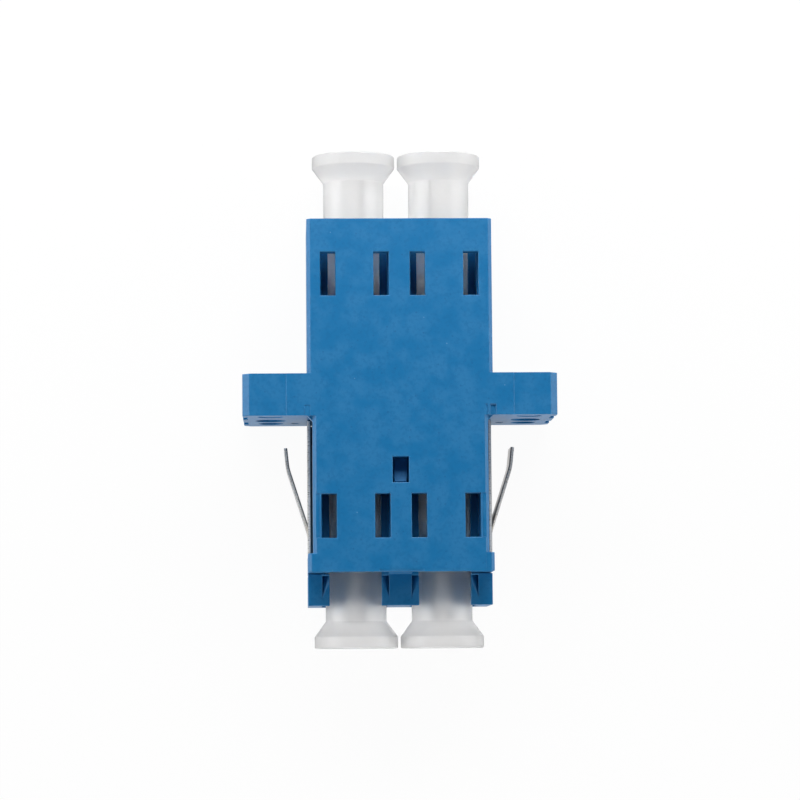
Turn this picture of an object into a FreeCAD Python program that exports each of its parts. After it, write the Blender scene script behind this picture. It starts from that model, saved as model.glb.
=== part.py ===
import FreeCAD, Part
import math
import os

Vector = FreeCAD.Vector
ALONG_X = Vector(1, 0, 0)
ALONG_Y = Vector(0, 1, 0)
ALONG_Z = Vector(0, 0, 1)

# A duplex optical fibre adapter for a panel cut-out. X runs across the two ports, Y along the
# fibres and Z up through the latch windows. The adapter lies on its back. The origin is the
# middle of the flange face that meets the panel. Sizes are in millimetres.

# Ports: a square plug opening, a neck between two rails, and a latch channel above them
port_pitch = 6.25
port_width = 4.65
port_height = 4.65
neck_width = 3.65
rail_height = 0.9
latch_height = 1.75

# Housing walls
side_wall = 1.0
back_wall = 1.0
front_wall = 1.0
body_length = 24.58
edge_chamfer = 0.25
centre_plate = 0.8
side_core_step = 0.03

# Flange ears
flange_thickness = 2.94
ear_end_chamfer = 0.48
ear_pocket_width = 0.33
ear_pocket_height = 1.8
ear_pocket_pitch = 4.2
ear_pocket_depth = 0.3
ear_shoulder = 1.44
ear_step = 0.03
screw_pitch = 18.0
screw_hole = 2.1
ear_margin = 1.95
pin_mark = 1.75
pin_mark_depth = 0.05
pin_mark_rise = 3.4
core_mark = 1.75
core_mark_depth = 0.16
core_mark_drop = 2.5
gate_mark = 0.6
gate_mark_depth = 0.06
gate_mark_drop = 2.3
gate_mark_setback = 0.85
root_notch_width = 0.41
root_notch_height = 0.73
root_notch_setback = 0.21
root_notch_depth = 0.14
blind_notch_depth = 0.03
root_run_out = 0.08
root_gusset_height = 0.4
root_gusset_depth = 0.75

# Latch windows in the front wall, two over each port at both ends
window_gap = 2.66
window_width = 1.06
window_length = 3.05
window_setback = 2.345
window_relief_gap = 0.1
window_relief_depth = 0.05

# Snap window in the front wall, and the hook of the insert that stands in it
snap_window_width = 1.13
snap_window_length = 1.79
snap_window_start = 2.87
hook_side_gap = 0.12
hook_play = 0.075
hook_lead = 0.1
hook_sink = 0.7
mouth_slope_length = 0.28
mouth_slope_depth = 0.1
mouth_slope_width = 3.06

# Insert that slides in from the clip end and closes the lower half
insert_clearance = 0.05
insert_seam = 0.06
frame_length = 2.275
rail_bridge = 0.12
scoop_long = 1.5
scoop_short = 0.4
scoop_depth = 0.6

# Split alignment sleeves and the barrels that hold them
sleeve_bore = 1.25
sleeve_outer = 1.62
sleeve_length = 6.8
sleeve_slit = 0.3
sleeve_clearance = 0.05
sleeve_end_gap = 0.05
barrel_wall = 0.44
lip_bore = 1.36
lip_length = 0.85
plate_gap = 0.02

# Spring clip folded from one strip, with a tang pushed out of each leg
clip_sheet = 0.25
clip_clearance = 0.1
clip_stand_off = 0.07
clip_sink = 0.01
clip_length = 9.39
clip_end_play = 0.07
clip_leg_height = 5.54
clip_fold_radius = 0.2
tang_width = 2.6
tang_margin = 0.55
tang_root = 1.34
tang_root_radius = 2.0
tang_arm = 4.95
tang_angle = 17.8
tang_bend_radius = 3.0
tang_tip = 1.45
tang_tip_angle = 6.0
tang_kerf = 0.1

# Dust caps: a long stem slipped over the barrel, a cone and a grip rim
cap_clearance = 0.175
cap_offset = 0.085
cap_stop_gap = 0.05
cap_socket_clearance = 0.15
cap_socket_extra = 4.2
cap_bore = 1.05
cap_end_wall = 1.4
cap_lead_in = 0.3
stem_shown = 1.055
cone_height = 1.09
rim_height = 0.82
rim_gap = 0.18
rim_round = 0.1

# Levels along Z
body_depth = back_wall + port_height + rail_height + latch_height + front_wall
back = -body_depth / 2
port_floor = back + back_wall
port_top = port_floor + port_height
rail_top = port_top + rail_height
latch_top = rail_top + latch_height
front = latch_top + front_wall
port_axis = port_floor + port_height / 2

# Half widths along X
cavity_half = (port_pitch + port_width) / 2
body_half = cavity_half + side_wall
mid_wall_half = (port_pitch - port_width) / 2
rail_width = (port_width - neck_width) / 2
flange_span = screw_pitch + 2 * ear_margin
flange_half = flange_span / 2
recess_depth = clip_clearance + clip_sheet + clip_sink
recess_half = body_half - recess_depth
port_centres = (-port_pitch / 2, port_pitch / 2)

# Stations along Y
mid_plane = flange_thickness / 2
plain_end = mid_plane + body_length / 2
clip_end = mid_plane - body_length / 2
recess_end = -(clip_length + 2 * clip_end_play)
frame_end = clip_end - frame_length
upper_window = (plain_end - window_setback - window_length, plain_end - window_setback)
lower_window = (clip_end + window_setback, clip_end + window_setback + window_length)

# Tang angles in radians, and the reach of its two bends to either side of their corners
lean = math.radians(tang_angle)
steep = math.radians(tang_tip_angle)
root_reach = tang_root_radius * math.tan(lean / 2)
bend_reach = tang_bend_radius * math.tan((lean - steep) / 2)

# Barrel and cap sizes that follow from the sleeves and the ports
barrel_bore = sleeve_outer + 2 * sleeve_clearance
barrel_outer = barrel_bore + 2 * barrel_wall
barrel_pocket = sleeve_length / 2 + sleeve_end_gap
barrel_reach = barrel_pocket + lip_length
stem_diameter = port_width - 2 * cap_clearance
cap_pitch = port_pitch - 2 * cap_offset
rim_diameter = cap_pitch - rim_gap
overshoot = 1.0
tolerance = 1e-6


def block(x, y, z):
    """Box between two limits along each axis."""
    return Part.makeBox(x[1] - x[0], y[1] - y[0], z[1] - z[0], Vector(x[0], y[0], z[0]))


def prism(points, travel):
    """Solid swept from a closed outline of points."""
    outline = Part.makePolygon(points + [points[0]])
    return Part.Face(outline).extrude(travel)


def prism_along_y(outline, y):
    """Solid from an X-Z outline between two stations along Y."""
    points = [Vector(x, y[0], z) for x, z in outline]
    return prism(points, ALONG_Y * (y[1] - y[0]))


def prism_along_x(outline, x):
    """Solid from a Y-Z outline between two limits along X."""
    points = [Vector(x[0], y, z) for y, z in outline]
    return prism(points, ALONG_X * (x[1] - x[0]))


def prism_along_z(outline, z):
    """Solid from an X-Y outline between two levels."""
    points = [Vector(x, y, z[0]) for x, y in outline]
    return prism(points, ALONG_Z * (z[1] - z[0]))


def rod(diameter, x, y):
    """Cylinder on a port axis height, between two stations along Y."""
    return Part.makeCylinder(diameter / 2, y[1] - y[0], Vector(x, y[0], port_axis), ALONG_Y)


def joined(shapes):
    """One solid out of overlapping or touching solids."""
    return shapes[0].fuse(shapes[1:]).removeSplitter()


def without(shape, tools):
    """A solid with tool solids cut away."""
    return shape.cut(tools).removeSplitter()


def mirrored(shape):
    """Mirror image of a shape across the plane between the ports."""
    return shape.mirror(Vector(0, 0, 0), ALONG_X)


def port_opening(x, y):
    """Plug opening, neck and latch channel of one port, as one tool."""
    half = port_width / 2
    neck = neck_width / 2
    plug = block((x - half, x + half), y, (port_floor, port_top))
    gap = block((x - neck, x + neck), y, (port_top, rail_top))
    latch = block((x - half, x + half), y, (rail_top, latch_top))
    return joined([plug, gap, latch])


def barrel(x, direction):
    """Tube that holds one end of an alignment sleeve, on one side of the mid plane."""
    tip = mid_plane + direction * barrel_reach
    return rod(barrel_outer, x, sorted((mid_plane, tip)))


def barrel_hole(x, direction):
    """Sleeve pocket and the narrower lip bore at the barrel's tip, as one tool."""
    pocket = rod(barrel_bore, x, sorted((mid_plane, mid_plane + direction * barrel_pocket)))
    lip = rod(lip_bore, x, sorted((mid_plane, mid_plane + direction * (barrel_reach + overshoot))))
    return joined([pocket, lip])


def body_outline():
    """Full section of the housing, its long edges chamfered."""
    inner = body_half - edge_chamfer
    low = back + edge_chamfer
    high = front - edge_chamfer
    right = [(inner, back), (body_half, low), (body_half, high), (inner, front)]
    left = [(-x, z) for x, z in reversed(right)]
    return right + left


def recess_outline():
    """Section of the housing where the clip wraps round it."""
    inner = recess_half - edge_chamfer
    high = front - edge_chamfer
    right = [(recess_half, back + recess_depth), (recess_half, high), (inner, front)]
    left = [(-x, z) for x, z in reversed(right)]
    return right + left


def flange_outline():
    """Section of the flange: a raised middle, a small step, and chamfered ear ends."""
    shoulder = body_half + ear_shoulder
    low = front - ear_step
    inner = flange_half - ear_end_chamfer
    right = [
        (inner, back),
        (flange_half, back + ear_end_chamfer),
        (flange_half, low - ear_end_chamfer),
        (inner, low),
        (shoulder + ear_step, low),
        (shoulder, front),
    ]
    left = [(-x, z) for x, z in reversed(right)]
    return right + left


def flange():
    """Two-eared flange with screw holes and mould marks on the panel side."""
    plate = prism_along_y(flange_outline(), (0, flange_thickness))
    right = [ear_hole(screw_hole, flange_thickness, screw_pitch / 2, 0)] + mould_marks()
    left = [mirrored(tool) for tool in right]
    return without(plate, right + left + ear_pockets())


def ear_hole(diameter, depth, x, z):
    """Round tool that enters an ear from the panel side."""
    return Part.makeCylinder(diameter / 2, depth, Vector(x, 0, z), ALONG_Y)


def mould_marks():
    """Shallow round marks that the mould leaves on the right ear, above, below and beside its hole."""
    x = screw_pitch / 2
    pin = ear_hole(pin_mark, pin_mark_depth, x, pin_mark_rise)
    core = ear_hole(core_mark, core_mark_depth, x, -core_mark_drop)
    gate = ear_hole(gate_mark, gate_mark_depth, body_half + gate_mark_setback, -gate_mark_drop)
    return [pin, core, gate]


def ear_pockets():
    """Two shallow pockets in each ear's end, open to the panel side."""
    tools = []
    half = ear_pocket_height / 2
    for middle in (-ear_pocket_pitch / 2, ear_pocket_pitch / 2):
        x = (flange_half - ear_pocket_width, flange_half)
        right = block(x, (0, ear_pocket_depth), (middle - half, middle + half))
        tools += [right, mirrored(right)]
    return tools


def root_notches():
    """Shallow notches at the ear roots, the right one deeper and beside a run-out of the recess chamfer."""
    near = body_half - root_notch_setback
    x = (near, near + root_notch_width)
    y = (0, root_notch_height)
    deep = block(x, y, (front - root_notch_depth, front))
    blind = mirrored(block(x, y, (front - blind_notch_depth, front)))
    inner = recess_half - edge_chamfer
    run_out = prism_along_y([(inner, front), (recess_half, front - root_run_out), (recess_half, front)], y)
    return [deep, blind, run_out]


def side_core_mark():
    """Shallow step that the mould's side core leaves on the band, in line with the recess chamfer."""
    x = (recess_half - edge_chamfer, body_half)
    return block(x, (clip_end, recess_end), (front - side_core_step, front))


def root_gussets():
    """Small gussets left under the ears at the head of the clip recess."""
    high = front - edge_chamfer
    outline = [(recess_half, 0), (recess_half, -root_gusset_height), (body_half, 0)]
    right = prism_along_z(outline, (high - root_gusset_depth, high))
    return [right, mirrored(right)]


def latch_windows():
    """Eight slots through the front wall, in pairs over the latch channels."""
    tools = []
    near = window_gap / 2
    far = near + window_width
    for centre in port_centres:
        for x in ((centre - far, centre - near), (centre + near, centre + far)):
            for y in (upper_window, lower_window):
                tools.append(block(x, y, (latch_top, front)))
    return tools


def window_reliefs():
    """Shallow steps in the thin wall between the clip recess and the outer windows beside it."""
    start = (port_pitch + window_gap) / 2 + window_width + window_relief_gap
    right = block((start, recess_half), lower_window, (front - window_relief_depth, front))
    return [right, mirrored(right)]


def snap_window():
    """Slot in the front wall that the insert's hook snaps into."""
    half = snap_window_width / 2
    y = (-snap_window_start - snap_window_length, -snap_window_start)
    return block((-half, half), y, (latch_top, front))


def mouth_lead_in():
    """Slope on the front wall's edge where the hook enters."""
    low = front - mouth_slope_depth
    outline = [(clip_end, front), (clip_end + mouth_slope_length, front), (clip_end, low)]
    half = mouth_slope_width / 2
    return prism_along_x(outline, (-half, half))


def side_rails():
    """Rails on the housing's side walls, over the two ports of the clip end."""
    inner = cavity_half - rail_width
    right = block((inner, cavity_half), (clip_end, mid_plane), (port_top, rail_top))
    return [right, mirrored(right)]


def housing():
    """One-piece moulding: two walled ports at the plain end, one wide cavity at the clip end."""
    upper = prism_along_y(body_outline(), (0, plain_end))
    waist = prism_along_y(recess_outline(), (recess_end, 0))
    band = prism_along_y(body_outline(), (clip_end, recess_end))
    outside = joined([upper, flange(), waist, band] + root_gussets())
    plate_face = mid_plane + centre_plate
    ports = [port_opening(x, (plate_face, plain_end)) for x in port_centres]
    wide = block((-cavity_half, cavity_half), (clip_end, mid_plane), (port_floor, latch_top))
    cavity = without(wide, side_rails())
    openings = ports + [cavity, snap_window(), mouth_lead_in()] + latch_windows()
    hollow = without(outside, openings + window_reliefs() + root_notches() + [side_core_mark()])
    barrels = joined([hollow] + [barrel(x, 1) for x in port_centres])
    return without(barrels, [barrel_hole(x, 1) for x in port_centres])


def insert_hook():
    """Wedge on the insert's middle wall, rising towards its stop face."""
    base = latch_top - insert_clearance
    tip = front - hook_sink
    stop = -snap_window_start - snap_window_length + hook_play
    start = -snap_window_start - hook_lead
    outline = [(start, base - hook_lead), (start, base), (stop, tip), (stop, base - hook_lead)]
    half = snap_window_width / 2 - hook_side_gap
    return prism_along_x(outline, (-half, half))


def rail_scoop(prong_side, port_side):
    """Slanting scoop in the top of a frame rail, deepest beside its prong and near the housing."""
    start = clip_end - insert_seam - rail_bridge
    corner = Vector(prong_side, start, rail_top)
    flank = [corner, corner - ALONG_Z * scoop_depth, corner - ALONG_Y * scoop_long]
    slant = Vector(port_side - prong_side, scoop_long - scoop_short, 0)
    room = block(sorted((prong_side, port_side)), (frame_end, start), (port_top, rail_top))
    return prism(flank, slant).common(room)


def end_frame():
    """Three-pronged frame past the housing's end, open to the front, its rails scooped."""
    y = (frame_end, clip_end - insert_seam)
    wall = mid_wall_half
    shelf = wall + rail_width
    ledge = cavity_half - rail_width
    floor = block((-body_half, body_half), y, (back, port_floor))
    prong = block((cavity_half, body_half), y, (back, rail_top))
    middle = block((-wall, wall), y, (back, rail_top))
    outer_rail = block((ledge, cavity_half), y, (port_top, rail_top))
    inner_rail = block((wall, shelf), y, (port_top, rail_top))
    right = [prong, outer_rail, inner_rail]
    solid = joined([floor, middle] + right + [mirrored(piece) for piece in right])
    scoops = [rail_scoop(cavity_half, ledge), rail_scoop(wall, shelf)]
    return without(solid, scoops + [mirrored(scoop) for scoop in scoops])


def port_insert():
    """Second moulding: end frame, middle wall with rails, barrel plate and snap hook."""
    wall = mid_wall_half
    y = (clip_end - insert_seam, mid_plane - plate_gap)
    web = block((-wall, wall), y, (port_floor + insert_clearance, latch_top - insert_clearance))
    rail = block((wall, wall + rail_width), y, (port_top, rail_top))
    plate_half = cavity_half - insert_clearance
    plate_y = (mid_plane - centre_plate, mid_plane - plate_gap)
    plate_z = (port_floor + insert_clearance, port_top - insert_clearance)
    plate = block((-plate_half, plate_half), plate_y, plate_z)
    tubes = [barrel(x, -1).cut(rod(barrel_outer + overshoot, x, (mid_plane - plate_gap, mid_plane)))
             for x in port_centres]
    solid = joined([end_frame(), web, rail, mirrored(rail), plate, insert_hook()] + tubes)
    return without(solid, [barrel_hole(x, -1) for x in port_centres])


def split_sleeve(x):
    """Ceramic tube slit along its length, centred on the mid plane."""
    y = (mid_plane - sleeve_length / 2, mid_plane + sleeve_length / 2)
    tube = rod(sleeve_outer, x, y).cut(rod(sleeve_bore, x, y))
    half = sleeve_slit / 2
    slit = block((x - half, x + half), y, (port_axis, port_axis + sleeve_outer))
    return tube.cut(slit)


def heading(angle):
    """Direction along a tang that leans out by an angle."""
    return Vector(math.sin(angle), math.cos(angle), 0)


def outward(angle):
    """Direction square to a tang, away from the body."""
    return Vector(math.cos(angle), -math.sin(angle), 0)


def tang_side(depth, corner):
    """Edges of a tang along one of its faces, at a depth below the outer one."""
    root_radius = tang_root_radius + depth
    bend_radius = tang_bend_radius - depth
    root_centre = corner + ALONG_X * tang_root_radius - ALONG_Y * root_reach
    root_bend = [root_centre - outward(angle) * root_radius for angle in (0, lean / 2, lean)]
    arm_end = root_bend[2] + heading(lean) * (tang_arm - root_reach - bend_reach)
    bend_centre = arm_end - outward(lean) * bend_radius
    bend = [bend_centre + outward(angle) * bend_radius for angle in (lean, (lean + steep) / 2, steep)]
    tip = bend[2] + heading(steep) * (tang_tip - bend_reach)
    curves = [
        Part.Arc(*root_bend),
        Part.LineSegment(root_bend[2], arm_end),
        Part.Arc(*bend),
        Part.LineSegment(bend[2], tip),
    ]
    return [curve.toShape() for curve in curves], root_bend[0], tip


def tang(leg_face, root, z):
    """Strip that bends out of a leg and turns back a little near its tip."""
    corner = Vector(leg_face, root, z[0])
    outer, outer_start, outer_tip = tang_side(0, corner)
    inner, inner_start, inner_tip = tang_side(clip_sheet, corner)
    ends = [Part.makeLine(outer_start, inner_start), Part.makeLine(outer_tip, inner_tip)]
    outline = Part.Wire(Part.__sortEdges__(outer + inner + ends))
    return Part.Face(outline).extrude(ALONG_Z * (z[1] - z[0]))


def lanced_tang(inner_x, root, z):
    """Window in a right-hand leg and the tang that is pushed out of it."""
    outer_x = inner_x + clip_sheet
    window_y = (root - root_reach, root + tang_arm + tang_tip + tang_kerf)
    window = block((inner_x, outer_x), window_y, (z[0] - tang_kerf, z[1] + tang_kerf))
    return window, tang(outer_x, root, z)


def mounting_clip():
    """Spring clip: a back and two legs folded from one strip, the right leg standing further off."""
    left_x = recess_half + clip_clearance
    right_x = left_x + clip_stand_off
    inner_z = back + recess_depth - clip_clearance
    outer_z = inner_z - clip_sheet
    leg_top = outer_z + clip_leg_height
    y = (-clip_end_play - clip_length, -clip_end_play)
    tray_x = (-left_x - clip_sheet, right_x + clip_sheet)
    tray = folded_block(tray_x, y, (outer_z, leg_top), clip_fold_radius + clip_sheet)
    room = folded_block((-left_x, right_x), y, (inner_z, leg_top), clip_fold_radius)
    root = y[0] + tang_root
    tang_z = (leg_top - tang_margin - tang_width, leg_top - tang_margin)
    right_window, right_tang = lanced_tang(right_x, root, tang_z)
    left_window, left_tang = (mirrored(shape) for shape in lanced_tang(left_x, root, tang_z))
    strip = tray.cut([room, right_window, left_window])
    return joined([strip, right_tang, left_tang])


def folded_block(x, y, z, radius):
    """Box whose two lower long edges are rounded, as a folded strip's are."""
    solid = block(x, y, z)
    edges = [edge for edge in solid.Edges if is_fold_edge(edge, z[0])]
    return solid.makeFillet(radius, edges)


def is_fold_edge(edge, level):
    """True for an edge that runs along Y at the given level."""
    start, end = (vertex.Point for vertex in edge.Vertexes)
    along_y = abs(start.x - end.x) < tolerance and abs(start.z - end.z) < tolerance
    return along_y and abs(start.z - level) < tolerance


def dust_cap(x, direction):
    """Turned cap: stem with a stepped blind bore, cone and rim, pushed in as far as the plate."""
    start = centre_plate + cap_stop_gap
    socket_end = barrel_reach + cap_socket_extra
    cone_start = body_length / 2 + frame_length + stem_shown
    rim_start = cone_start + cone_height
    end = rim_start + rim_height
    stem = stem_diameter / 2
    rim = rim_diameter / 2
    socket = barrel_outer / 2 + cap_socket_clearance
    bore = cap_bore / 2
    profile = [
        (socket, start),
        (stem - cap_lead_in, start),
        (stem, start + cap_lead_in),
        (stem, cone_start),
        (rim, rim_start),
        (rim, end - rim_round),
        (rim - rim_round, end),
        (0, end),
        (0, end - cap_end_wall),
        (bore, end - cap_end_wall),
        (bore, socket_end),
        (socket, socket_end),
    ]
    points = [Vector(r, y, 0) for r, y in profile]
    face = Part.Face(Part.makePolygon(points + [points[0]]))
    cap = face.revolve(Vector(0, 0, 0), ALONG_Y, 360)
    if direction < 0:
        cap.rotate(Vector(0, 0, 0), ALONG_Z, 180)
    cap.translate(Vector(x, mid_plane, port_axis))
    return cap


def all_nodes():
    """Every piece of the adapter by name."""
    nodes = {
        "housing": housing(),
        "port_insert": port_insert(),
        "mounting_clip": mounting_clip(),
    }
    for side, sign in (("left", -1), ("right", 1)):
        nodes["split_sleeve_" + side] = split_sleeve(sign * port_pitch / 2)
        for end, direction in (("plain_end", 1), ("clip_end", -1)):
            nodes["cap_" + end + "_" + side] = dust_cap(sign * cap_pitch / 2, direction)
    return nodes


os.makedirs("parts", exist_ok=True)
for name, shape in all_nodes().items():
    shape.exportStep("parts/" + name + ".step")
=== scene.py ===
"""Looks of a duplex fibre adapter.

Two satin blue mouldings, a folded spring clip, two slit ceramic sleeves and four frosted dust caps
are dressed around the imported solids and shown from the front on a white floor.
"""

import logging
import math
from dataclasses import dataclass, field
from enum import Enum
from typing import Any, Iterator, Sequence

import bmesh
import bpy
from mathutils import Matrix, Vector


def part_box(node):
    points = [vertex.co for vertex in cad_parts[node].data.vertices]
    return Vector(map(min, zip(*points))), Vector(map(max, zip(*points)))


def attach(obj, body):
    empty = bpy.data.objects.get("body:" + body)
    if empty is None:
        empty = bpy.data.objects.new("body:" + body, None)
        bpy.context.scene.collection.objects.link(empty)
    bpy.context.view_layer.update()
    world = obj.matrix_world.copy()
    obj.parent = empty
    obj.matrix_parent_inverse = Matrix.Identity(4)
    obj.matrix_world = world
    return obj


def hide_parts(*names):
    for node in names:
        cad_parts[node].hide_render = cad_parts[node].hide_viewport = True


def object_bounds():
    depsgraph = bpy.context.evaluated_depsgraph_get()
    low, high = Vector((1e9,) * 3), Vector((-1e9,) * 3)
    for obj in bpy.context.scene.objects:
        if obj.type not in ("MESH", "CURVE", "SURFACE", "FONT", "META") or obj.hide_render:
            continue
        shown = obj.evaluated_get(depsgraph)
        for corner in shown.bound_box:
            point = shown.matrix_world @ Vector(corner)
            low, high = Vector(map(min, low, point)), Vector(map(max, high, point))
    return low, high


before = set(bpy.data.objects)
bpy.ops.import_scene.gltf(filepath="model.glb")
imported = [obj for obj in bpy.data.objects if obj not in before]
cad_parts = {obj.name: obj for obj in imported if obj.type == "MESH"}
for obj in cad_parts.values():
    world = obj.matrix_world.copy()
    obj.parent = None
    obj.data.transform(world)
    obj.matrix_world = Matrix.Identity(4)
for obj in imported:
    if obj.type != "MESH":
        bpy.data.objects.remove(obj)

CAD_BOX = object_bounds()
MM = 0.001
ADAPTER_BODY = "adapter"
MERGE_DISTANCE = 0.0002 * MM
FLAT_ANGLE = math.radians(0.5)
SHARP_ANGLE = math.radians(28)
SMOOTH_COSINE = math.cos(math.radians(44))
NOISE_MIDDLE = 0.5
WHITE = (1.0, 1.0, 1.0, 1.0)
WHITE_STRENGTH = 1.0

Rgb = tuple[float, float, float]
Span = tuple[float, float]
Corner = tuple[float, float, float]

log = logging.getLogger("adapter")


class PortEnd(Enum):
    """The adapter's two ends. The value is the way out along Y."""

    PLAIN = 1
    CLIP = -1

    @property
    def label(self) -> str:
        """Name of the end, as the solids use it."""
        return f"{self.name.lower()}_end"


class Side(Enum):
    """The two ports beside each other. The value is the side's sign along X."""

    LEFT = -1
    RIGHT = 1

    @property
    def label(self) -> str:
        """Name of the side, as the solids use it."""
        return self.name.lower()


class Slot(Enum):
    """Material slots of the record."""

    BLUE = "blue_plastic"
    CLEAR = "clear_cap_plastic"
    STEEL = "spring_steel"
    CERAMIC = "white_ceramic"


class Signal:
    """A shader value. Arithmetic on it adds Math nodes to its graph."""

    def __init__(self, graph: "ShaderGraph", socket: bpy.types.NodeSocket) -> None:
        """Wraps one output socket of a graph."""
        self.graph = graph
        self.socket = socket

    def combine(self, operation: str, first: "Number", second: "Number") -> "Signal":
        """Adds one Math node.

        Args:
            operation: the Math node's operation.
            first: value of its first socket.
            second: value of its second socket.

        Returns:
            The node's result.
        """
        node = self.graph.node("ShaderNodeMath", {"operation": operation}, {0: first, 1: second})
        return Signal(self.graph, node.outputs[0])

    def __add__(self, other: "Number") -> "Signal":
        """Sum of two values."""
        return self.combine("ADD", self, other)

    def __radd__(self, other: "Number") -> "Signal":
        """Sum with a plain number first."""
        return self.combine("ADD", other, self)

    def __sub__(self, other: "Number") -> "Signal":
        """Difference of two values."""
        return self.combine("SUBTRACT", self, other)

    def __rsub__(self, other: "Number") -> "Signal":
        """Difference with a plain number first."""
        return self.combine("SUBTRACT", other, self)

    def __mul__(self, other: "Number") -> "Signal":
        """Product of two values."""
        return self.combine("MULTIPLY", self, other)

    def __rmul__(self, other: "Number") -> "Signal":
        """Product with a plain number first."""
        return self.combine("MULTIPLY", other, self)

    def __lt__(self, other: "Number") -> "Signal":
        """One where this value is the smaller, and zero elsewhere."""
        return self.combine("LESS_THAN", self, other)

    def larger(self, other: "Number") -> "Signal":
        """The larger of two values."""
        return self.combine("MAXIMUM", self, other)

    def fade(self, start: float, end: float) -> "Signal":
        """Smooth step of the value.

        Args:
            start: value at which the step is 0.
            end: value at which the step is 1.

        Returns:
            The step, between 0 and 1.
        """
        sockets = {"Value": self, "From Min": start, "From Max": end}
        node = self.graph.node("ShaderNodeMapRange", {"interpolation_type": "SMOOTHSTEP"}, sockets)
        return Signal(self.graph, node.outputs["Result"])

    def swing(self, reach: float) -> "Signal":
        """Noise brought to swing about 0 over a reach."""
        return reach * (self - NOISE_MIDDLE)


Number = Signal | float


class ShaderGraph:
    """Node tree of a material or of the world, with short ways to add nodes."""

    MIX_FACTOR = 0
    MIX_COLOUR_A = 6
    MIX_COLOUR_B = 7
    MIX_COLOUR_RESULT = 2
    MIX_SHADER_A = 1
    MIX_SHADER_B = 2
    SPOT_CORE = 0.5

    def __init__(self, tree: bpy.types.NodeTree) -> None:
        """Takes over a tree and empties it."""
        self.tree = tree
        tree.nodes.clear()

    def node(
        self,
        kind: str,
        settings: dict[str, Any] | None = None,
        sockets: dict[int | str, Any] | None = None,
    ) -> bpy.types.Node:
        """Adds one node.

        Args:
            kind: Blender's name for the node's type.
            settings: the node's own properties, set before its sockets.
            sockets: a value, a socket or a signal for each input, by name or number.

        Returns:
            The new node.
        """
        node = self.tree.nodes.new(kind)
        for name, value in (settings or {}).items():
            setattr(node, name, value)
        for key, value in (sockets or {}).items():
            if isinstance(value, Signal):
                value = value.socket
            if isinstance(value, bpy.types.NodeSocket):
                self.tree.links.new(value, node.inputs[key])
            else:
                node.inputs[key].default_value = value
        return node

    def place(self, scale: Sequence[float] = (1, 1, 1)) -> bpy.types.NodeSocket:
        """Object coordinates, stretched along each axis.

        Args:
            scale: factor along X, Y and Z.

        Returns:
            The vector socket.
        """
        where = self.node("ShaderNodeTexCoord").outputs["Object"]
        mapping = self.node("ShaderNodeMapping", None, {"Vector": where, "Scale": tuple(scale)})
        return mapping.outputs["Vector"]

    def noise(self, where: bpy.types.NodeSocket, size: float, detail: float = 2.0) -> Signal:
        """Soft noise.

        Args:
            where: coordinates in metres.
            size: width of one blotch in metres.
            detail: number of finer layers.

        Returns:
            The noise, around 0.5.
        """
        sockets = {"Vector": where, "Scale": 1 / size, "Detail": detail}
        return Signal(self, self.node("ShaderNodeTexNoise", None, sockets).outputs[0])

    def spots(self, where: bpy.types.NodeSocket, spacing: float, radius: float, share: float) -> Signal:
        """Scattered round spots.

        Args:
            where: coordinates in metres.
            spacing: width of the cells that may hold a spot.
            radius: radius of a spot.
            share: share of the cells that hold one.

        Returns:
            A mask that is 1 in the middle of a spot.
        """
        cells = self.node("ShaderNodeTexVoronoi", None, {"Vector": where, "Scale": 1 / spacing})
        draw = self.node("ShaderNodeSeparateColor", None, {0: cells.outputs["Color"]})
        reach = radius / spacing
        near = Signal(self, cells.outputs["Distance"]).fade(reach, self.SPOT_CORE * reach)
        return near * (Signal(self, draw.outputs[0]) < share)

    def ray(self, kind: str) -> Signal:
        """One for rays of a kind, by the name of the Light Path output."""
        return Signal(self, self.node("ShaderNodeLightPath").outputs[kind])

    def blend(self, share: Number, first: Any, second: Any) -> bpy.types.NodeSocket:
        """Mix of two colours.

        Args:
            share: how much of the second colour shows.
            first: a colour or a colour socket.
            second: a colour or a colour socket.

        Returns:
            The mixed colour.
        """
        colours = [(*c, 1.0) if isinstance(c, tuple) else c for c in (first, second)]
        sockets = {self.MIX_FACTOR: share, self.MIX_COLOUR_A: colours[0], self.MIX_COLOUR_B: colours[1]}
        return self.node("ShaderNodeMix", {"data_type": "RGBA"}, sockets).outputs[self.MIX_COLOUR_RESULT]

    def relief(self, height: Signal, depth: float, strength: float) -> bpy.types.NodeSocket:
        """Bumped normal.

        Args:
            height: relief between 0 and 1.
            depth: height in metres of a value of 1.
            strength: share of the relief that shows.

        Returns:
            The normal.
        """
        sockets = {"Height": height, "Distance": depth, "Strength": strength}
        return self.node("ShaderNodeBump", None, sockets).outputs["Normal"]

    def mix_shaders(
        self,
        share: Signal,
        first: bpy.types.Node,
        second: bpy.types.Node,
    ) -> bpy.types.NodeSocket:
        """Mix of two shaders.

        Args:
            share: how much of the second shader shows.
            first: a shader node.
            second: a shader node.

        Returns:
            The mixed shader.
        """
        sockets = {
            self.MIX_FACTOR: share,
            self.MIX_SHADER_A: first.outputs[0],
            self.MIX_SHADER_B: second.outputs[0],
        }
        return self.node("ShaderNodeMixShader", None, sockets).outputs[0]

    def surface(self, sockets: dict[int | str, Any]) -> None:
        """Ends a material in one Principled shader.

        Args:
            sockets: values and links of the shader's sockets.
        """
        shader = self.node("ShaderNodeBsdfPrincipled", None, sockets)
        self.node("ShaderNodeOutputMaterial", None, {"Surface": shader.outputs[0]})


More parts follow.
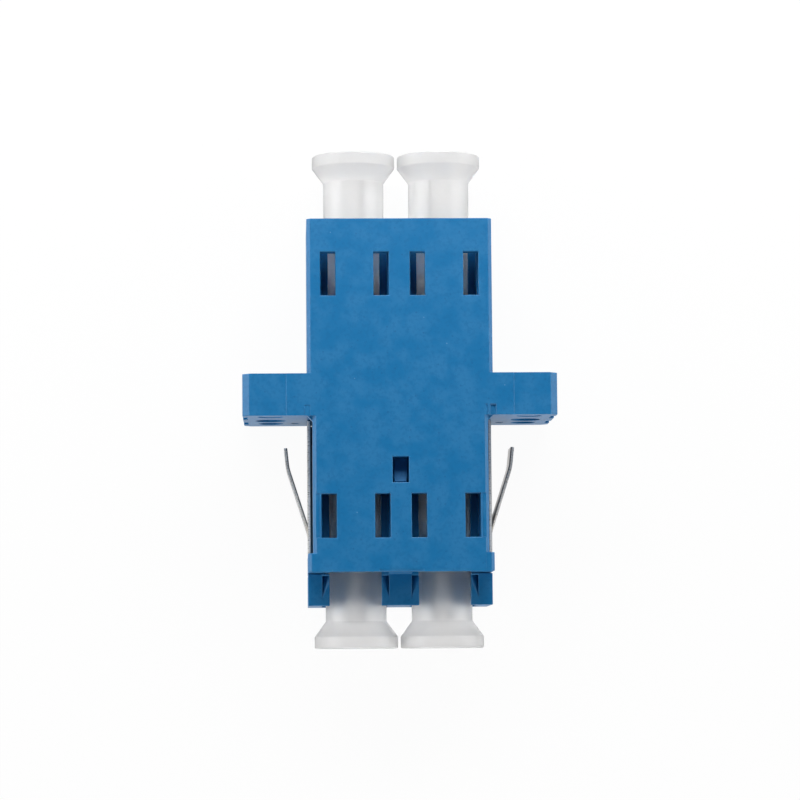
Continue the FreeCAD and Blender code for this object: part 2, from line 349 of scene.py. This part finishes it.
@dataclass(frozen=True)
class Finish:
    """A surface finish. It becomes one material, made on first use."""

    name: str

    def material(self) -> bpy.types.Material:
        """The finish as a material.

        Returns:
            The material, made once.
        """
        made = bpy.data.materials.get(self.name)
        if made is None:
            made = bpy.data.materials.new(self.name)
            made.use_nodes = True
            self.paint(ShaderGraph(made.node_tree))
        return made

    def paint(self, graph: ShaderGraph) -> None:
        """Builds the material's nodes.

        Args:
            graph: empty graph of the material.
        """
        raise NotImplementedError


@dataclass(frozen=True)
class SatinMoulding(Finish):
    """Satin moulded plastic: fine spark grain, flow tints, pebbling, small pits with painted shade in them,
    and dust.
    """

    colour: Rgb = (0.002, 0.148, 0.364)
    flow_colour: Rgb = (0.014, 0.169, 0.389)
    pebble_colour: Rgb = (0.002, 0.124, 0.314)
    # painted shade: the pits are coloured darker for the shade inside them
    pit_shade_colour: Rgb = (0.004, 0.085, 0.235)
    dust_colour: Rgb = (0.16, 0.34, 0.55)
    roughness: float = 0.45
    specular: float = 0.5
    grain_size: float = 0.07 * MM
    grain_height: float = 0.4
    grain_gloss: float = 0.16
    flow_size: float = 1.3 * MM
    flow_fade: Span = (0.35, 0.65)
    flow_height: float = 0.4
    flow_gloss: float = 0.1
    pebble_size: float = 0.24 * MM
    pebble_fade: Span = (0.45, 0.7)
    pebble_cover: float = 0.5
    pebble_drop: float = 0.35
    pit_spacing: float = 0.5 * MM
    pit_radius: float = 0.085 * MM
    pit_share: float = 0.45
    pit_shade_cover: float = 0.4
    pit_drop: float = 0.6
    dust_spacing: float = 0.8 * MM
    dust_radius: float = 0.06 * MM
    dust_share: float = 0.2
    dust_cover: float = 0.45
    dust_height: float = 0.4
    relief_depth: float = 0.004 * MM
    relief_strength: float = 0.5

    def paint(self, graph: ShaderGraph) -> None:
        """Builds the material's nodes.

        Args:
            graph: empty graph of the material.
        """
        where = graph.place()
        flow = graph.noise(where, self.flow_size, detail=4.0)
        pebbles = graph.noise(where, self.pebble_size, detail=3.0)
        grain = graph.noise(where, self.grain_size)
        pits = graph.spots(where, self.pit_spacing, self.pit_radius, self.pit_share)
        dust = graph.spots(where, self.dust_spacing, self.dust_radius, self.dust_share)
        tint = graph.blend(flow.fade(*self.flow_fade), self.colour, self.flow_colour)
        pebbled = graph.blend(self.pebble_cover * pebbles.fade(*self.pebble_fade), tint, self.pebble_colour)
        # painted shade: darker colour laid into the pits for the shade in them
        pit_shaded = graph.blend(self.pit_shade_cover * pits, pebbled, self.pit_shade_colour)
        dusty = graph.blend(self.dust_cover * dust, pit_shaded, self.dust_colour)
        skin = self.grain_height * grain + self.flow_height * flow - self.pebble_drop * pebbles
        height = skin - self.pit_drop * pits + self.dust_height * dust
        graph.surface({
            "Base Color": dusty,
            "Roughness": self.roughness + grain.swing(self.grain_gloss) + flow.swing(self.flow_gloss),
            "Specular IOR Level": self.specular,
            "Normal": graph.relief(height, self.relief_depth, self.relief_strength),
        })


@dataclass(frozen=True)
class FrostedPlastic(Finish):
    """Frosted, see-through soft plastic of the dust caps."""

    colour: Rgb = (0.955, 0.945, 0.936)
    cloud_colour: Rgb = (0.922, 0.912, 0.903)
    transmission: float = 0.9
    roughness: float = 0.48
    refraction: float = 1.42
    skin: float = 0.5
    skin_roughness: float = 0.3
    scatter: float = 1.0
    scatter_reach: float = 1.2 * MM
    scatter_tint: Rgb = (1.0, 1.0, 1.0)
    cloud_size: float = 1.4 * MM
    cloud_fade: Span = (0.35, 0.65)
    cloud_height: float = 0.4
    cloud_gloss: float = 0.1
    frost_size: float = 0.5 * MM
    frost_height: float = 0.6
    frost_gloss: float = 0.12
    relief_depth: float = 0.004 * MM
    relief_strength: float = 0.3

    def paint(self, graph: ShaderGraph) -> None:
        """Builds the material's nodes.

        Args:
            graph: empty graph of the material.
        """
        where = graph.place()
        cloud = graph.noise(where, self.cloud_size, detail=3.0)
        frost = graph.noise(where, self.frost_size)
        height = self.frost_height * frost + self.cloud_height * cloud
        graph.surface({
            "Base Color": graph.blend(cloud.fade(*self.cloud_fade), self.colour, self.cloud_colour),
            "Roughness": self.roughness + frost.swing(self.frost_gloss) + cloud.swing(self.cloud_gloss),
            "Transmission Weight": self.transmission,
            "IOR": self.refraction,
            "Coat Weight": self.skin,
            "Coat Roughness": self.skin_roughness,
            "Subsurface Weight": self.scatter,
            "Subsurface Radius": self.scatter_tint,
            "Subsurface Scale": self.scatter_reach,
            "Normal": graph.relief(height, self.relief_depth, self.relief_strength),
        })


@dataclass(frozen=True)
class RolledSteel(Finish):
    """Spring steel strip with fine rolling lines along its length, wider on its back than on its legs."""

    colour: Rgb = (0.44, 0.43, 0.41)
    line_colour: Rgb = (0.30, 0.29, 0.28)
    roughness: float = 0.3
    line_width: float = 0.035 * MM
    back_line_width: float = 0.16 * MM
    line_length: float = 1.6 * MM
    line_fade: Span = (0.4, 0.7)
    line_gloss: float = 0.2
    line_depth: float = 0.003 * MM
    line_strength: float = 0.5
    metallic: float = 1.0

    def paint(self, graph: ShaderGraph) -> None:
        """Builds the material's nodes.

        Args:
            graph: empty graph of the material.
        """
        where = graph.place((self.line_width / self.back_line_width, self.line_width / self.line_length, 1))
        lines = graph.noise(where, self.line_width, detail=3.0)
        graph.surface({
            "Base Color": graph.blend(lines.fade(*self.line_fade), self.colour, self.line_colour),
            "Metallic": self.metallic,
            "Roughness": self.roughness + lines.swing(self.line_gloss),
            "Normal": graph.relief(lines, self.line_depth, self.line_strength),
        })


@dataclass(frozen=True)
class ShearedSteel(Finish):
    """Cut edge of the strip: burnished near the housing and coloured dark there as painted shade of the gap
    to the housing, torn and pale on the outer side.

    The piece's inner side attribute runs from 0 on the strip's outer face to 1 on its inner face.
    """

    INNER_SIDE = "inner_side"

    torn_colour: Rgb = (0.86, 0.82, 0.76)
    tear_colour: Rgb = (0.32, 0.30, 0.28)
    # painted shade: the dark colour of the band on the housing side stands in for the shade in the gap
    # between strip and housing
    burnished_shade_colour: Rgb = (0.36, 0.35, 0.33)
    torn_metallic: float = 0.25
    torn_roughness: float = 0.62
    burnished_roughness: float = 0.38
    burnished_shade_from: float = 0.63
    burnished_shade_blur: float = 0.1
    wander: float = 0.25
    tear_fade: Span = (0.5, 0.75)
    streak_width: float = 0.05 * MM
    streak_length: float = 0.25 * MM
    streak_depth: float = 0.01 * MM
    streak_strength: float = 0.4

    def paint(self, graph: ShaderGraph) -> None:
        """Builds the material's nodes.

        Args:
            graph: empty graph of the material.
        """
        where = graph.place((self.streak_width / self.streak_length, 1, 1))
        streaks = graph.noise(where, self.streak_width, detail=3.0)
        inner = graph.node("ShaderNodeAttribute", {"attribute_name": self.INNER_SIDE}).outputs["Fac"]
        edge = Signal(graph, inner) + streaks.swing(self.wander)
        # painted shade: this band next to the housing takes the dark colour for the gap's shade, besides the
        # burnished metal's gloss
        burnished_and_shaded = edge.fade(self.burnished_shade_from, self.burnished_shade_from + self.burnished_shade_blur)
        torn = graph.blend(streaks.fade(*self.tear_fade), self.torn_colour, self.tear_colour)
        graph.surface({
            "Base Color": graph.blend(burnished_and_shaded, torn, self.burnished_shade_colour),
            "Metallic": self.torn_metallic + (1 - self.torn_metallic) * burnished_and_shaded,
            "Roughness": self.torn_roughness + (self.burnished_roughness - self.torn_roughness) * burnished_and_shaded,
            "Normal": graph.relief(streaks * (1 - burnished_and_shaded), self.streak_depth, self.streak_strength),
        })


@dataclass(frozen=True)
class GroundCeramic(Finish):
    """White ceramic of the sleeves, ground along its length."""

    colour: Rgb = (0.82, 0.81, 0.77)
    line_colour: Rgb = (0.74, 0.73, 0.69)
    roughness: float = 0.22
    line_width: float = 0.03 * MM
    line_length: float = 0.9 * MM
    line_fade: Span = (0.35, 0.7)
    line_gloss: float = 0.12
    line_depth: float = 0.001 * MM
    line_strength: float = 0.4

    def paint(self, graph: ShaderGraph) -> None:
        """Builds the material's nodes.

        Args:
            graph: empty graph of the material.
        """
        where = graph.place((1, self.line_width / self.line_length, 1))
        lines = graph.noise(where, self.line_width)
        graph.surface({
            "Base Color": graph.blend(lines.fade(*self.line_fade), self.colour, self.line_colour),
            "Roughness": self.roughness + lines.swing(self.line_gloss),
            "Normal": graph.relief(lines, self.line_depth, self.line_strength),
        })


@dataclass(frozen=True)
class WhiteFloor(Finish):
    """Matt white floor that looks white to the camera and in mirrors, and still takes a soft shadow."""

    colour: Rgb = (0.9, 0.9, 0.9)
    seen_share: float = 0.95
    refracted_share: float = 0.6
    paper_size: float = 0.4 * MM
    paper_depth: float = 0.01 * MM
    paper_strength: float = 0.2

    def paint(self, graph: ShaderGraph) -> None:
        """Builds the material's nodes.

        Args:
            graph: empty graph of the material.
        """
        paper = graph.noise(graph.place(), self.paper_size)
        matt = graph.node("ShaderNodeBsdfDiffuse", None, {
            "Color": (*self.colour, 1.0),
            "Normal": graph.relief(paper, self.paper_depth, self.paper_strength),
        })
        white = graph.node("ShaderNodeEmission", None, {"Strength": WHITE_STRENGTH})
        direct = graph.ray("Is Camera Ray").larger(graph.ray("Is Glossy Ray"))
        through = graph.ray("Is Transmission Ray")
        shown = (self.seen_share * direct * (1 - through)).larger(self.refracted_share * through)
        graph.node("ShaderNodeOutputMaterial", None, {"Surface": graph.mix_shaders(shown, matt, white)})


BLUE_PLASTIC = SatinMoulding("blue_satin_plastic")
CAP_PLASTIC = FrostedPlastic("frosted_cap_plastic")
STRIP_STEEL = RolledSteel("rolled_spring_steel")
EDGE_STEEL = ShearedSteel("sheared_steel_edge")
CERAMIC = GroundCeramic("ground_white_ceramic")
FLOOR_PAPER = WhiteFloor("white_floor")


class Turning:
    """Geometry nodes that turn a section about an axis, all the way round or as an open arc.

    The section is a curve whose X is measured outwards from the path radius and whose Y runs along
    the axis.
    """

    INPUTS = {
        "Path Radius": "NodeSocketFloat",
        "Segments": "NodeSocketInt",
        "Closed": "NodeSocketBool",
        "Start Angle": "NodeSocketFloat",
        "Sweep Angle": "NodeSocketFloat",
        "Merge Distance": "NodeSocketFloat",
        "Material": "NodeSocketMaterial",
    }

    def __init__(self) -> None:
        """Builds the tree."""
        self.tree = bpy.data.node_groups.new("turning", "GeometryNodeTree")
        self.identifiers: dict[str, str] = {}
        self.add_socket("Geometry", "INPUT", "NodeSocketGeometry")
        for name, kind in self.INPUTS.items():
            self.identifiers[name] = self.add_socket(name, "INPUT", kind)
        self.add_socket("Geometry", "OUTPUT", "NodeSocketGeometry")
        self.connect()

    def add_socket(self, name: str, way: str, kind: str) -> str:
        """Adds a socket to the tree's interface.

        Args:
            name: name that the modifier shows.
            way: INPUT or OUTPUT.
            kind: Blender's name for the socket's type.

        Returns:
            The socket's identifier.
        """
        return self.tree.interface.new_socket(name, in_out=way, socket_type=kind).identifier

    def step(self, kind: str, links: dict[str, bpy.types.NodeSocket]) -> bpy.types.Node:
        """Adds a node and links its inputs.

        Args:
            kind: Blender's name for the node's type.
            links: the socket that feeds each input, by the input's name.

        Returns:
            The new node.
        """
        node = self.tree.nodes.new(kind)
        for name, socket in links.items():
            self.tree.links.new(socket, node.inputs[name])
        return node

    def connect(self) -> None:
        """Links the path, the sweep along it, the merged poles and the finish."""
        given = self.tree.nodes.new("NodeGroupInput").outputs
        radius, segments = given["Path Radius"], given["Segments"]
        ring = self.step("GeometryNodeCurvePrimitiveCircle", {"Radius": radius, "Resolution": segments})
        arc = self.step("GeometryNodeCurveArc", {
            "Radius": radius,
            "Resolution": segments,
            "Start Angle": given["Start Angle"],
            "Sweep Angle": given["Sweep Angle"],
        })
        path = self.tree.nodes.new("GeometryNodeSwitch")
        path.input_type = "GEOMETRY"
        self.tree.links.new(given["Closed"], path.inputs["Switch"])
        self.tree.links.new(arc.outputs[0], path.inputs["False"])
        self.tree.links.new(ring.outputs[0], path.inputs["True"])
        level = self.step("GeometryNodeSetCurveNormal", {"Curve": path.outputs[0]})
        level.mode = "Z_UP"
        swept = self.step("GeometryNodeCurveToMesh", {
            "Curve": level.outputs[0],
            "Profile Curve": given["Geometry"],
        })
        swept.inputs["Fill Caps"].default_value = True
        merged = self.step("GeometryNodeMergeByDistance", {
            "Geometry": swept.outputs[0],
            "Distance": given["Merge Distance"],
        })
        real = self.step("GeometryNodeRealizeInstances", {"Geometry": merged.outputs[0]})
        dressed = self.step("GeometryNodeSetMaterial", {
            "Geometry": real.outputs[0],
            "Material": given["Material"],
        })
        self.step("NodeGroupOutput", {"Geometry": dressed.outputs[0]})

    def turn(
        self,
        name: str,
        section: Sequence[Vector],
        cyclic: bool,
        values: dict[str, Any],
    ) -> bpy.types.Mesh:
        """Turns a section into a plain mesh.

        Args:
            name: name of the mesh.
            section: points of the section, X from the axis and Y along it.
            cyclic: whether the section closes on itself.
            values: the tree's inputs by name.

        Returns:
            The mesh, its axis along -Z for a rising Y.
        """
        curve = bpy.data.curves.new(name, "CURVE")
        curve.dimensions = "3D"
        spline = curve.splines.new("POLY")
        spline.points.add(len(section) - 1)
        for point, place in zip(spline.points, section):
            point.co = (place.x - values["Path Radius"], place.y, 0, 1)
        spline.use_cyclic_u = cyclic
        blank = bpy.data.objects.new(name, curve)
        bpy.context.scene.collection.objects.link(blank)
        modifier = blank.modifiers.new("turning", "NODES")
        modifier.node_group = self.tree
        for key, value in values.items():
            modifier[self.identifiers[key]] = value
        mesh = baked(blank, name)
        bpy.data.objects.remove(blank)
        bpy.data.curves.remove(curve)
        return mesh


def baked(thing: bpy.types.Object, name: str) -> bpy.types.Mesh:
    """Result of an object's modifiers as a plain mesh.

    Args:
        thing: object with its modifiers.
        name: name of the new mesh.

    Returns:
        The mesh.
    """
    graph = bpy.context.evaluated_depsgraph_get()
    mesh = bpy.data.meshes.new_from_object(thing.evaluated_get(graph))
    mesh.name = name
    return mesh


def rounded(corners: Sequence[Corner], steps: int) -> list[Vector]:
    """Outline with its corners rounded.

    Args:
        corners: X, Y and radius of each corner; a radius of 0 keeps it sharp.
        steps: parts that each rounding is divided into.

    Returns:
        The outline's points.
    """
    points: list[Vector] = []
    count = len(corners)
    for index, (x, y, radius) in enumerate(corners):
        here = Vector((x, y))
        if radius == 0:
            points.append(here)
            continue
        before = (Vector(corners[index - 1][:2]) - here).normalized()
        after = (Vector(corners[(index + 1) % count][:2]) - here).normalized()
        half = before.angle(after) / 2
        centre = here + (before + after).normalized() * (radius / math.sin(half))
        reach = radius / math.tan(half)
        first = here + before * reach - centre
        last = here + after * reach - centre
        points.extend(centre + radius * first.slerp(last, step / steps) for step in range(steps + 1))
    return points


def place_mesh(mesh: bpy.types.Mesh, matrix: Matrix) -> None:
    """Moves a closed mesh into place and turns its faces outwards.

    Args:
        mesh: mesh to change.
        matrix: its move.
    """
    solid = bmesh.new()
    solid.from_mesh(mesh)
    bmesh.ops.transform(solid, matrix=matrix, verts=solid.verts)
    bmesh.ops.recalc_face_normals(solid, faces=solid.faces)
    solid.to_mesh(mesh)
    solid.free()
    mesh.shade_smooth()


def level_normals(mesh: bpy.types.Mesh) -> None:
    """Keeps flat faces flat to the light, and roundings smooth between them.

    Each corner's normal is the mean, by area, of the faces at its vertex that lie near its own face.

    Args:
        mesh: mesh to change.
    """
    around: list[list[bpy.types.MeshPolygon]] = [[] for _ in mesh.vertices]
    for face in mesh.polygons:
        for vertex in face.vertices:
            around[vertex].append(face)
    normals = [Vector() for _ in mesh.loops]
    for face in mesh.polygons:
        for corner, vertex in zip(face.loop_indices, face.vertices):
            near = (f for f in around[vertex] if f.normal.dot(face.normal) > SMOOTH_COSINE)
            normals[corner] = sum((f.area * f.normal for f in near), Vector()).normalized()
    mesh.normals_split_custom_set(normals)


def add_piece(name: str, mesh: bpy.types.Mesh, body: str, node: str) -> bpy.types.Object:
    """Puts a finished mesh in the scene in place of its solid.

    Args:
        name: name of the piece.
        mesh: its mesh, in the part's frame.
        body: body that it rides on.
        node: solid that it replaces.

    Returns:
        The piece.
    """
    piece = bpy.data.objects.new(name, mesh)
    bpy.context.scene.collection.objects.link(piece)
    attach(piece, body)
    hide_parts(node)
    log.info("%s: %d faces on %s", name, len(mesh.polygons), body)
    return piece


@dataclass
class SoftenedSolid:
    """A solid shown with its edges rounded, as moulding or tumbling leaves them."""

    node: str
    slot: Slot
    finish: Finish
    edge_round: float
    round_steps: int = 3
    room_share: float = 0.42

    def merged(self) -> bmesh.types.BMesh:
        """Copy of the solid's mesh with its flat faces whole.

        Returns:
            The copy.
        """
        solid = bmesh.new()
        solid.from_mesh(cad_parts[self.node].data)
        bmesh.ops.remove_doubles(solid, verts=solid.verts, dist=MERGE_DISTANCE)
        bmesh.ops.dissolve_limit(solid, angle_limit=FLAT_ANGLE, verts=solid.verts, edges=solid.edges)
        return solid

    def sharp_edges(self, solid: bmesh.types.BMesh) -> Iterator[bmesh.types.BMEdge]:
        """Edges of a mesh where two faces meet at an angle."""
        return (e for e in solid.edges if len(e.link_faces) == 2 and e.calc_face_angle() > SHARP_ANGLE)

    def room(self, edge: bmesh.types.BMEdge) -> float:
        """Length of the shortest neighbour that a rounding at an edge runs into.

        Args:
            edge: edge to be rounded.

        Returns:
            The length.
        """
        faces = set(edge.link_faces)
        beside = (e for v in edge.verts for e in v.link_edges if e is not edge and faces & set(e.link_faces))
        return min(e.calc_length() for e in beside)

    def weigh(self, solid: bmesh.types.BMesh) -> None:
        """Gives each sharp edge the share of the largest rounding that it takes.

        Args:
            solid: mesh to change.
        """
        weight = solid.edges.layers.float.new("bevel_weight_edge")
        for edge in self.sharp_edges(solid):
            radius = min(self.edge_round, self.room_share * self.room(edge))
            edge[weight] = radius / self.edge_round

    def dress(self, solid: bmesh.types.BMesh, mesh: bpy.types.Mesh) -> None:
        """Gives every face the one finish."""
        mesh.materials.append(self.finish.material())

    def keep_inside(self, mesh: bpy.types.Mesh) -> None:
        """Holds a mesh within its solid's box, where a rounding overshoots at a crowded corner.

        Args:
            mesh: mesh to change.
        """
        low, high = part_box(self.node)
        for vertex in mesh.vertices:
            vertex.co = [min(max(place, a), b) for place, a, b in zip(vertex.co, low, high)]

    def build(self) -> bpy.types.Object:
        """Rounds and dresses the solid.

        Returns:
            The piece.
        """
        solid = self.merged()
        self.weigh(solid)
        sharp = bpy.data.meshes.new(self.node + "_sharp")
        self.dress(solid, sharp)
        solid.to_mesh(sharp)
        solid.free()
        sharp.shade_smooth()
        blank = bpy.data.objects.new(self.node + "_blank", sharp)
        bpy.context.scene.collection.objects.link(blank)
        bevel = blank.modifiers.new("edge_round", "BEVEL")
        bevel.limit_method = "WEIGHT"
        bevel.width = self.edge_round
        bevel.segments = self.round_steps
        bevel.use_clamp_overlap = False
        mesh = baked(blank, self.node + "_dressed")
        self.keep_inside(mesh)
        level_normals(mesh)
        bpy.data.objects.remove(blank)
        bpy.data.meshes.remove(sharp)
        return add_piece(self.node + "_dressed", mesh, ADAPTER_BODY, self.node)


@dataclass
class SpringClip(SoftenedSolid):
    """The folded strip with its rolled faces and cut edges."""

    cut_finish: Finish = EDGE_STEEL
    cut_area: float = 4.0 * MM * MM
    side_lean: float = 0.05
    end_lean: float = 0.9

    def is_cut(self, face: bmesh.types.BMFace) -> bool:
        """Whether a face is a cut edge of the strip: an end, or a narrow one that does not look sideways."""
        is_end = abs(face.normal.y) > self.end_lean
        return is_end or (face.calc_area() < self.cut_area and abs(face.normal.x) < self.side_lean)

    def looks_inward(self, face: bmesh.types.BMFace) -> bool:
        """Whether a face looks towards the housing."""
        middle = face.calc_center_median()
        return face.normal.x * middle.x + face.normal.z * middle.z < 0

    def dress(self, solid: bmesh.types.BMesh, mesh: bpy.types.Mesh) -> None:
        """Gives rolled faces and cut edges their finishes, and marks the side that faces the housing.

        Args:
            solid: the strip, whose faces get their slot and whose vertices get the inner side attribute.
            mesh: mesh that gets the finishes.
        """
        mesh.materials.append(self.finish.material())
        mesh.materials.append(self.cut_finish.material())
        inner_side = solid.verts.layers.float.new(ShearedSteel.INNER_SIDE)
        for face in solid.faces:
            cut = self.is_cut(face)
            face.material_index = int(cut)
            if not cut and self.looks_inward(face):
                for vertex in face.verts:
                    vertex[inner_side] = 1.0


@dataclass
class DustCap:
    """One turned cap: stem over a stepped blind bore, cone and grip rim."""

    side: Side
    end: PortEnd
    turning: Turning
    stem_radius: float = 2.15 * MM
    cone_height: float = 1.09 * MM
    rim_height: float = 0.82 * MM
    end_wall: float = 1.4 * MM
    bore_radius: float = 0.525 * MM
    socket_radius: float = 1.45 * MM
    socket_depth: float = 7.65 * MM
    lead_in: float = 0.3 * MM
    edge_round: float = 0.06 * MM
    rim_round: float = 0.1 * MM
    segments: int = 96
    round_steps: int = 5

    @property
    def node(self) -> str:
        """Name of the cap's solid and body."""
        return f"cap_{self.end.label}_{self.side.label}"

    def section(self, rim_radius: float, length: float) -> list[Vector]:
        """Half section, from the middle of the rim's end to the middle of the bore's end.

        Args:
            rim_radius: radius of the grip rim.
            length: length of the cap.

        Returns:
            Points, X from the axis and Y from the inner end.
        """
        rim_start = length - self.rim_height
        cone_start = rim_start - self.cone_height
        soft, rim = self.edge_round, self.rim_round
        corners = [
            (0.0, length, 0.0),
            (rim_radius, length, rim),
            (rim_radius, rim_start, rim),
            (self.stem_radius, cone_start, rim),
            (self.stem_radius, self.lead_in, soft),
            (self.stem_radius - self.lead_in, 0.0, soft),
            (self.socket_radius, 0.0, soft),
            (self.socket_radius, self.socket_depth, soft),
            (self.bore_radius, self.socket_depth, soft),
            (self.bore_radius, length - self.end_wall, soft),
            (0.0, length - self.end_wall, 0.0),
        ]
        return rounded(corners, self.round_steps)

    def build(self) -> bpy.types.Object:
        """Turns, places and dresses the cap.

        Returns:
            The piece.
        """
        low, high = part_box(self.node)
        middle = (low + high) / 2
        rim_radius = (high.x - low.x) / 2
        section = self.section(rim_radius, high.y - low.y)
        mesh = self.turning.turn(self.node + "_dressed", section, cyclic=False, values={
            "Path Radius": self.stem_radius,
            "Segments": self.segments,
            "Closed": True,
            "Merge Distance": MERGE_DISTANCE,
            "Material": CAP_PLASTIC.material(),
        })
        inner_end = low.y if self.end is PortEnd.PLAIN else high.y
        move = Matrix.Translation((middle.x, inner_end, middle.z))
        place_mesh(mesh, move @ Matrix.Rotation(self.end.value * math.pi / 2, 4, "X"))
        return add_piece(self.node + "_dressed", mesh, self.node, self.node)


@dataclass
class FerruleSleeve:
    """One slit ceramic sleeve."""

    side: Side
    turning: Turning
    bore_radius: float = 0.625 * MM
    slit: float = 0.3 * MM
    edge_round: float = 0.04 * MM
    segments: int = 64
    round_steps: int = 4

    def build(self) -> bpy.types.Object:
        """Turns, places and dresses the sleeve, its slit upwards.

        Returns:
            The piece.
        """
        node = f"split_sleeve_{self.side.label}"
        low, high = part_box(node)
        outer = (high.x - low.x) / 2
        length = high.y - low.y
        soft = self.edge_round
        section = rounded([
            (self.bore_radius, 0.0, soft),
            (outer, 0.0, soft),
            (outer, length, soft),
            (self.bore_radius, length, soft),
        ], self.round_steps)
        half_gap = math.asin(self.slit / (self.bore_radius + outer))
        mesh = self.turning.turn(node + "_dressed", section, cyclic=True, values={
            "Path Radius": outer,
            "Segments": self.segments,
            "Closed": False,
            "Start Angle": math.pi / 2 + half_gap,
            "Sweep Angle": 2 * (math.pi - half_gap),
            "Merge Distance": MERGE_DISTANCE,
            "Material": CERAMIC.material(),
        })
        move = Matrix.Translation(((low.x + high.x) / 2, low.y, low.z + outer))
        place_mesh(mesh, move @ Matrix.Rotation(math.pi / 2, 4, "X"))
        return add_piece(node + "_dressed", mesh, ADAPTER_BODY, node)


@dataclass
class SoftBox:
    """A large soft lamp that looks at the adapter."""

    name: str
    place: tuple[float, float, float]
    width: float
    height: float
    radiance: float

    WATTS_PER_RADIANCE = 4.0

    def build(self) -> None:
        """Adds the lamp."""
        lamp = bpy.data.lights.new(self.name, "AREA")
        lamp.shape = "RECTANGLE"
        lamp.size = self.width
        lamp.size_y = self.height
        lamp.energy = self.WATTS_PER_RADIANCE * self.radiance * self.width * self.height
        holder = bpy.data.objects.new(self.name, lamp)
        holder.location = self.place
        holder.rotation_euler = Vector(self.place).to_track_quat("Z", "Y").to_euler()
        holder.visible_camera = False
        bpy.context.scene.collection.objects.link(holder)
        log.info("lamp %s", self.name)


@dataclass
class PhotoCamera:
    """Camera fitted to the photo: eye in the part's frame, small turns from straight down."""

    eye: tuple[float, float, float] = (-7.5613 * MM, -17.9959 * MM, 219.6555 * MM)
    pitch: float = -0.0883
    yaw: float = 0.0349
    roll: float = 0.0052
    focal_pixels: float = 3117.1
    image_pixels: float = 800.0
    sensor: float = 36.0
    nearest: float = 1.0 * MM
    farthest: float = 20.0

    def build(self) -> None:
        """Adds the camera and makes it the scene's."""
        lens = bpy.data.cameras.new("photo_camera")
        lens.sensor_fit = "HORIZONTAL"
        lens.sensor_width = self.sensor
        lens.lens = self.focal_pixels / self.image_pixels * self.sensor
        lens.clip_start = self.nearest
        lens.clip_end = self.farthest
        holder = bpy.data.objects.new("photo_camera", lens)
        pitch = Matrix.Rotation(self.pitch, 4, "X")
        yaw = Matrix.Rotation(self.yaw, 4, "Y")
        roll = Matrix.Rotation(self.roll, 4, "Z")
        holder.matrix_world = Matrix.Translation(self.eye) @ (roll @ yaw @ pitch).transposed()
        bpy.context.scene.collection.objects.link(holder)
        bpy.context.scene.camera = holder
        log.info("camera at %s", self.eye)


@dataclass
class Studio:
    """White floor, pale surroundings, soft lamps and the camera."""

    floor_half: float = 3.0
    floor_gap: float = 0.02 * MM
    ceiling: float = 0.04
    wall_top: float = 0.58
    wall_fade: float = 0.4
    lamps: list[SoftBox] = field(default_factory=lambda: [
        SoftBox("left_softbox", (-0.30, 0.02, 0.10), width=0.22, height=0.22, radiance=1.9),
        SoftBox("right_softbox", (0.30, 0.02, 0.10), width=0.22, height=0.22, radiance=1.45),
        SoftBox("plain_end_softbox", (0.0, 0.085, 0.062), width=0.12, height=0.04, radiance=6.2),
        SoftBox("clip_end_softbox", (0.0, -0.20, 0.10), width=0.16, height=0.06, radiance=3.2),
    ])
    camera: PhotoCamera = field(default_factory=PhotoCamera)

    def build_floor(self) -> None:
        """Adds the floor just under the adapter's back."""
        level = CAD_BOX[0].z - self.floor_gap
        half = self.floor_half
        mesh = bpy.data.meshes.new("floor")
        corners = [(-half, -half, level), (half, -half, level), (half, half, level), (-half, half, level)]
        mesh.from_pydata(corners, [], [(0, 1, 2, 3)])
        mesh.materials.append(FLOOR_PAPER.material())
        floor = bpy.data.objects.new("floor", mesh)
        bpy.context.scene.collection.objects.link(floor)

    def build_surroundings(self) -> None:
        """Gives the world white walls all round and a dim ceiling."""
        world = bpy.data.worlds.new("surroundings")
        world.use_nodes = True
        bpy.context.scene.world = world
        graph = ShaderGraph(world.node_tree)
        way = graph.node("ShaderNodeTexCoord").outputs["Generated"]
        rise = graph.node("ShaderNodeSeparateXYZ", None, {"Vector": way}).outputs["Z"]
        walls = Signal(graph, rise).fade(self.wall_top, self.wall_fade)
        seen = graph.ray("Is Camera Ray").larger(graph.ray("Is Transmission Ray"))
        dim = graph.node("ShaderNodeBackground", None, {"Color": WHITE, "Strength": self.ceiling})
        white = graph.node("ShaderNodeBackground", None, {"Color": WHITE, "Strength": WHITE_STRENGTH})
        around = graph.mix_shaders(walls.larger(seen), dim, white)
        graph.node("ShaderNodeOutputWorld", None, {"Surface": around})

    def build(self) -> None:
        """Builds the whole studio."""
        bpy.context.scene.view_settings.view_transform = "Standard"
        self.build_floor()
        self.build_surroundings()
        for lamp in self.lamps:
            lamp.build()
        self.camera.build()


def main() -> None:
    """Builds the pieces in order, then the studio."""
    logging.basicConfig(level=logging.INFO, format="%(message)s")
    turning = Turning()
    SoftenedSolid("housing", Slot.BLUE, BLUE_PLASTIC, edge_round=0.06 * MM).build()
    SoftenedSolid("port_insert", Slot.BLUE, BLUE_PLASTIC, edge_round=0.05 * MM).build()
    SpringClip("mounting_clip", Slot.STEEL, STRIP_STEEL, edge_round=0.03 * MM).build()
    for side in Side:
        FerruleSleeve(side, turning).build()
        for end in PortEnd:
            DustCap(side, end, turning).build()
    Studio().build()


if __name__ == "__main__":
    main()
